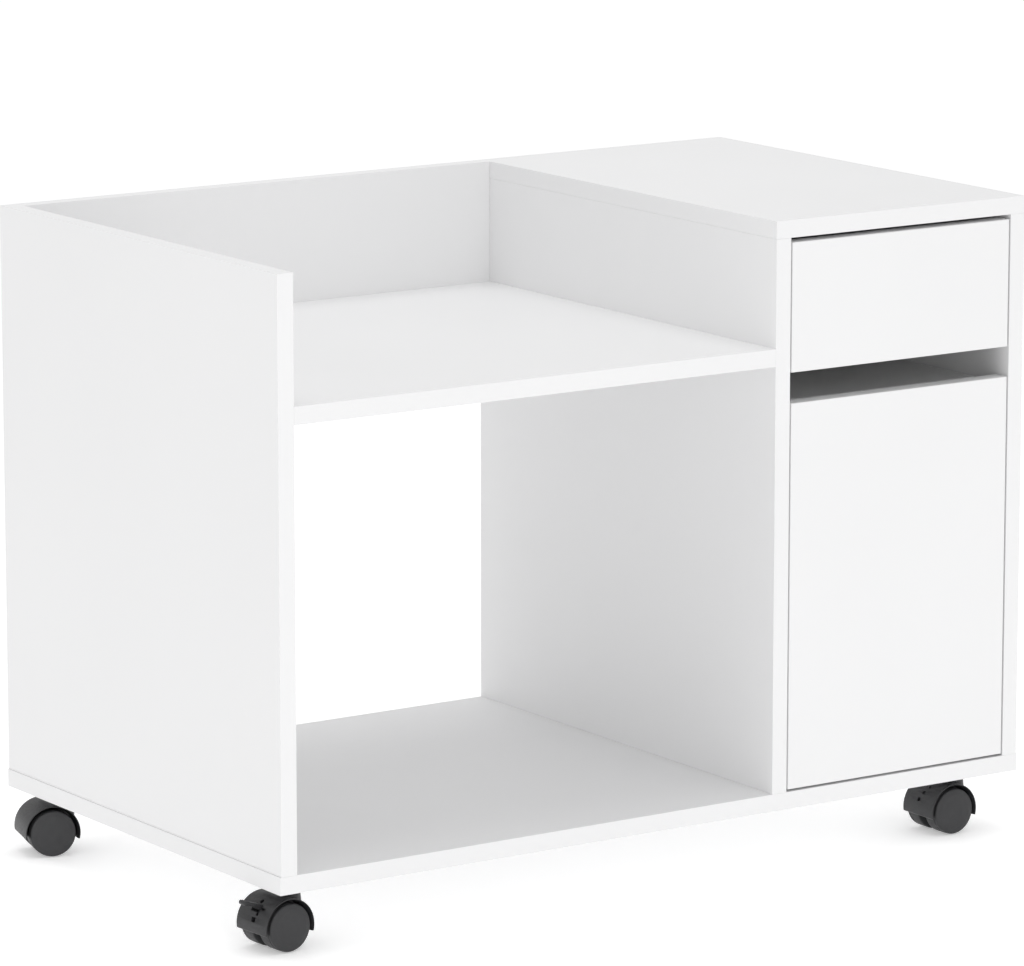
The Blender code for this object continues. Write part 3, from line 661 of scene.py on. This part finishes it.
def hood_mesh(style):
    """The hood about the axle; its style (brake, plain or pierced) says what its back carries."""
    section = rounded([(0, -SHELL_HALF_WIDTH), (SHELL_RADIUS, -SHELL_HALF_WIDTH, 0.4),
                       (SHELL_RADIUS, SHELL_HALF_WIDTH, 0.4), (0, SHELL_HALF_WIDTH)], 5)
    body = turned(section, SHELL_STEPS, "Y", SHELL_START, SHELL_END - SHELL_START)
    boss = turned(
        rounded([(0, 8), (9.6, 8), (9.6, 17.0), (9.0, 23.0), (9.0, 27.2, 0.7), (0, 27.2)], 5), 64, "Z"
    )
    body = cut(body, shell_end_cutter(SHELL_START, 1, 1.4), shell_end_cutter(SHELL_END, -1, 2.4))
    mesh = joined(body, moved(boss, KINGPIN_OFFSET))
    for side in (-1, 1):
        profile = rounded([(0, WEB_HALF_WIDTH), (CAVITY_RADIUS, WEB_HALF_WIDTH, 1.2),
                           (CAVITY_RADIUS, SHELL_HALF_WIDTH - 4.0, 2.0),
                           (CAVITY_MOUTH_RADIUS, SHELL_HALF_WIDTH + 0.1),
                           (CAVITY_MOUTH_RADIUS, 40), (0, 40)], 5)
        mesh = cut(mesh, turned([(r, side * h) for r, h in profile], WHEEL_SEGMENTS))
    mesh = cut(mesh, cylinder(AXLE_BORE, -6, 6))
    mesh = cut(mesh, moved(cylinder(KINGPIN_BORE, 9, 30, 48, "Z"), KINGPIN_OFFSET))
    return smooth(bevelled(cut(mesh, *hood_openings(style)), 0.22 * MM, 2, 50.0), 40.0)


def hood_openings(style):
    """Cutters for the holes and recesses in a hood's back, which differ from style to style."""
    reach = SHELL_RADIUS + 3
    if style == "brake":
        return [
            ring_block(130.5, 147.5, 19.0, reach, -5.7, 5.7),
            ring_block(136.0, 141.0, 21.0, reach, -10.5, -5.0),
            radial_hole(2.0, 123.0, 0.0, 19.0),
            ring_block(146.5, 154.0, 21.0, reach, -5.6, -2.8),
            ring_block(158.5, 168.5, 19.0, reach, -3.9, 0.9),
        ]
    if style == "pierced":
        return [
            radial_hole(1.9, 156.5, 1.0, 19.0),
            ring_block(136.0, 143.5, SHELL_RADIUS - 1.2, reach, -3.4, 0.2),
            ring_block(121.0, 127.0, SHELL_RADIUS - 0.8, reach, -5.5, -2.5),
        ]
    return []


def shell_end_cutter(angle, forward, radius):
    """Takes the sharp outer corner off the shell's end at an angle; forward is 1 at its start."""
    outward = Vector((cos(radians(angle)), sin(radians(angle))))
    along = Vector((-outward.y, outward.x)) * forward
    corner = outward * SHELL_RADIUS
    outline = [corner + (outward - along) * 1.0]
    middle = corner + (along - outward) * radius
    for step in range(9):
        turn = radians(step * 90 / 8)
        reach = radius + 0.01 * (step in (0, 8))
        outline.append(middle + (outward * sin(turn) - along * cos(turn)) * reach)
    outline.insert(1, corner - outward * radius - along * 1.0)
    outline.append(corner + along * radius + outward * 1.0)
    return extruded([tuple(point) for point in outline], -SHELL_HALF_WIDTH - 2, SHELL_HALF_WIDTH + 2)


def radial_hole(radius, angle, across, inner):
    """A cutter that drills towards the axle at an angle in degrees, offset along Y."""
    tool = cylinder(radius, inner, SHELL_RADIUS + 4, 32, "Z")
    tool.transform(Matrix.Rotation(radians(90 - angle), 4, "Y"))
    return moved(tool, 0, across, 0)


def wheel_mesh(side):
    """One wheel about the axle: a tread with a parting groove and a domed disc with a rounded rim."""
    profile = rounded([
        (AXLE_BORE, WHEEL_INNER), (WHEEL_RADIUS, WHEEL_INNER, 1.2), (WHEEL_RADIUS, 16.6, 0.3),
        (WHEEL_RADIUS - 0.5, 17.0, 0.2), (WHEEL_RADIUS - 0.5, 17.5, 0.2), (WHEEL_RADIUS - 0.1, 17.8, 0.2),
        (WHEEL_RADIUS - 0.15, WHEEL_OUTER - 0.5, 1.9), (WHEEL_RADIUS - 5, WHEEL_OUTER + 0.35, 3.0),
        (WHEEL_RADIUS - 12, WHEEL_OUTER + 0.72, 3.0), (0, WHEEL_OUTER + 0.8), (0, 14.2),
        (AXLE_BORE, 14.2),
    ], 6)
    mesh = smooth(turned([(r, side * h) for r, h in profile], WHEEL_SEGMENTS), 45.0)
    for face in mesh.polygons:
        middle = face.center
        tread = hypot(middle.x, middle.z) > (WHEEL_RADIUS - 0.7) * MM and abs(middle.y) < 17.2 * MM
        face.material_index = 1 if tread else 0
    return mesh


def lever_mesh():
    """The brake pedal about the axle: a knuckle in the hood, a stepped neck and a rounded tip."""
    outline = [(1.6, -0.4), (1.7, 1.2), (0.4, 2.9), (-4.5, 4.5), (-10.0, 6.1), (-14.2, 7.9)]
    for step in range(9):
        angle = radians(100 + step * 20)
        outline.append((LEVER_TIP[0] + LEVER_TIP_RADIUS * cos(angle),
                        LEVER_TIP[1] + LEVER_TIP_RADIUS * sin(angle)))
    outline += [(-13.2, 4.5), (-9.4, 3.2), (-5.6, 1.9), (-3.4, 0.6), (-2.2, -1.2), (-0.4, -1.7), (1.0, -1.4)]
    outline = [(PIVOT[0] + x, PIVOT[1] + z) for x, z in outline]
    mesh = extruded(outline, -LEVER_HALF_WIDTH, LEVER_HALF_WIDTH)
    taper = bmesh.new()
    taper.from_mesh(mesh)
    for vert in taper.verts:
        out = max(0.0, (PIVOT[0] - vert.co.x / MM) / LEVER_REACH)
        vert.co.y *= 1.0 - LEVER_TAPER * out
    mesh = mesh_from(taper)
    mesh = bevelled(mesh, 0.6 * MM, 3, 50.0)
    for x, z in ((-14.3, 7.85), (-12.7, 7.2), (-11.1, 6.55)):
        rib = cylinder(0.4, -3.2, 3.2, 16)
        mesh = joined(mesh, moved(rib, PIVOT[0] + x, 0, PIVOT[1] + z))
    return smooth(mesh, 45.0)


def plate_mesh(half, low, high):
    """The mounting plate about the kingpin, with rounded corners and a raised race."""
    corners = [(-half, -half, 3.5), (half, -half, 3.5), (half, half, 3.5), (-half, half, 3.5)]
    plate = extruded(rounded(corners, 6), low, high, "Z")
    section = rounded([(0, low - 1.6), (10.5, low - 1.6, 0.6), (12.0, low + 0.3), (0, low + 0.3)], 4)
    race = turned(section, 56, "Z")
    return smooth(bevelled(joined(plate, race), 0.3 * MM, 2, 50.0))


HOOD_STYLES = {"fl": "brake", "fr": "pierced", "rl": "plain", "rr": "brake"}


def add_casters():
    hoods = {style: hood_mesh(style) for style in set(HOOD_STYLES.values())}
    wheels = {side: wheel_mesh(side) for side in (-1, 1)}
    lever = lever_mesh()
    plate_low, plate_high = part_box("caster_fl_plate")
    screw = screw_mesh(3.6, 1.5)
    for corner, style in HOOD_STYLES.items():
        name = f"caster_{corner}"
        axle, kingpin = center(f"{name}_axle"), center(f"{name}_kingpin")
        turn = atan2(kingpin.y - axle.y, kingpin.x - axle.x)
        place = Matrix.Translation(axle) @ Matrix.Rotation(turn, 4, "Z")
        add_piece(f"{name}_hood_moulding", copied(hoods[style], place), "hood", name,
                  [f"{name}_hood"])
        for number, side in ((1, -1), (2, 1)):
            add_piece(f"{name}_wheel_{number}_moulding", copied(wheels[side], place), ["disc", "tread"],
                      f"wheel_{corner}_{number}", [f"{name}_wheel_{number}"])
        if style == "brake":
            add_piece(f"{name}_brake_pedal", copied(lever, place), "hood", f"brake_{corner}",
                      [f"{name}_brake_lever"])
        half = (plate_high.x - plate_low.x) / 2 / MM
        plate = plate_mesh(half, plate_low.z / MM, plate_high.z / MM)
        plate.transform(Matrix.Translation((kingpin.x, kingpin.y, 0)))
        add_piece(f"{name}_plate_pressing", plate, "steel", "cabinet", [f"{name}_plate"])
        heads = []
        for x in (-1, 1):
            for y in (-1, 1):
                at = (kingpin.x + x * PLATE_HOLE_OFFSET * MM, kingpin.y + y * PLATE_HOLE_OFFSET * MM,
                      plate_low.z)
                heads.append(placed(screw, at, (0, 0, -1), x + 2.1 * y))
        add_piece(f"{name}_plate_screws", merged(*heads), "steel", "cabinet")
        for node in (f"{name}_axle", f"{name}_kingpin"):
            finish_node(node, "steel")


def finish_node(node, finish):
    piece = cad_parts[node]
    piece.data.materials.clear()
    piece.data.materials.append(FINISH[finish])


# ---- floor, light and camera ----

def add_floor():
    bm = bmesh.new()
    bmesh.ops.create_grid(bm, x_segments=2, y_segments=2, size=FLOOR_HALF_SIZE)
    floor = bpy.data.objects.new("studio_floor", mesh_from(bm))
    bpy.context.scene.collection.objects.link(floor)
    floor.location.z = -FLOOR_DROP
    material, shader = shader_material("studio_floor", FLOOR_COLOR, 0.75, specular=0.15)
    shader.inputs["Emission Color"].default_value = (1.0, 1.0, 1.0, 1.0)
    shader.inputs["Emission Strength"].default_value = FLOOR_GLOW
    vary_roughness(material.node_tree, shader, noise(material.node_tree, 3.0), 0.7, 0.8)
    floor.data.materials.append(material)


def add_area_light(name, at, size, power):
    light = bpy.data.lights.new(name, "AREA")
    light.shape = "DISK"
    light.size = size
    light.energy = power
    lamp = bpy.data.objects.new(name, light)
    bpy.context.scene.collection.objects.link(lamp)
    lamp.location = at
    lamp.rotation_euler = (Vector(LIGHT_TARGET) - Vector(at)).to_track_quat("-Z", "Y").to_euler()


def add_lights():
    world = bpy.data.worlds.new("studio")
    world.use_nodes = True
    world.node_tree.nodes["Background"].inputs["Color"].default_value = (1.0, 1.0, 1.0, 1.0)
    world.node_tree.nodes["Background"].inputs["Strength"].default_value = WORLD_LIGHT
    bpy.context.scene.world = world
    bpy.context.scene.view_settings.view_transform = "Standard"
    add_area_light("front_softbox", **FRONT_LIGHT)
    add_area_light("top_softbox", **TOP_LIGHT)


def add_camera():
    data = bpy.data.cameras.new("camera")
    data.sensor_width = 36.0
    data.lens = CAMERA_LENS
    data.clip_end = 200.0
    camera = bpy.data.objects.new("camera", data)
    bpy.context.scene.collection.objects.link(camera)
    level = cos(CAMERA_PITCH)
    forward = Vector((sin(CAMERA_YAW) * level, cos(CAMERA_YAW) * level, -sin(CAMERA_PITCH)))
    camera.location = CAMERA_PLACE
    camera.rotation_euler = forward.to_track_quat("-Z", "Y").to_euler()
    bpy.context.scene.camera = camera


add_boards()
add_fasteners()
add_runners()
add_hinges()
add_hinge_links()
add_catch()
add_casters()
add_floor()
add_lights()
add_camera()
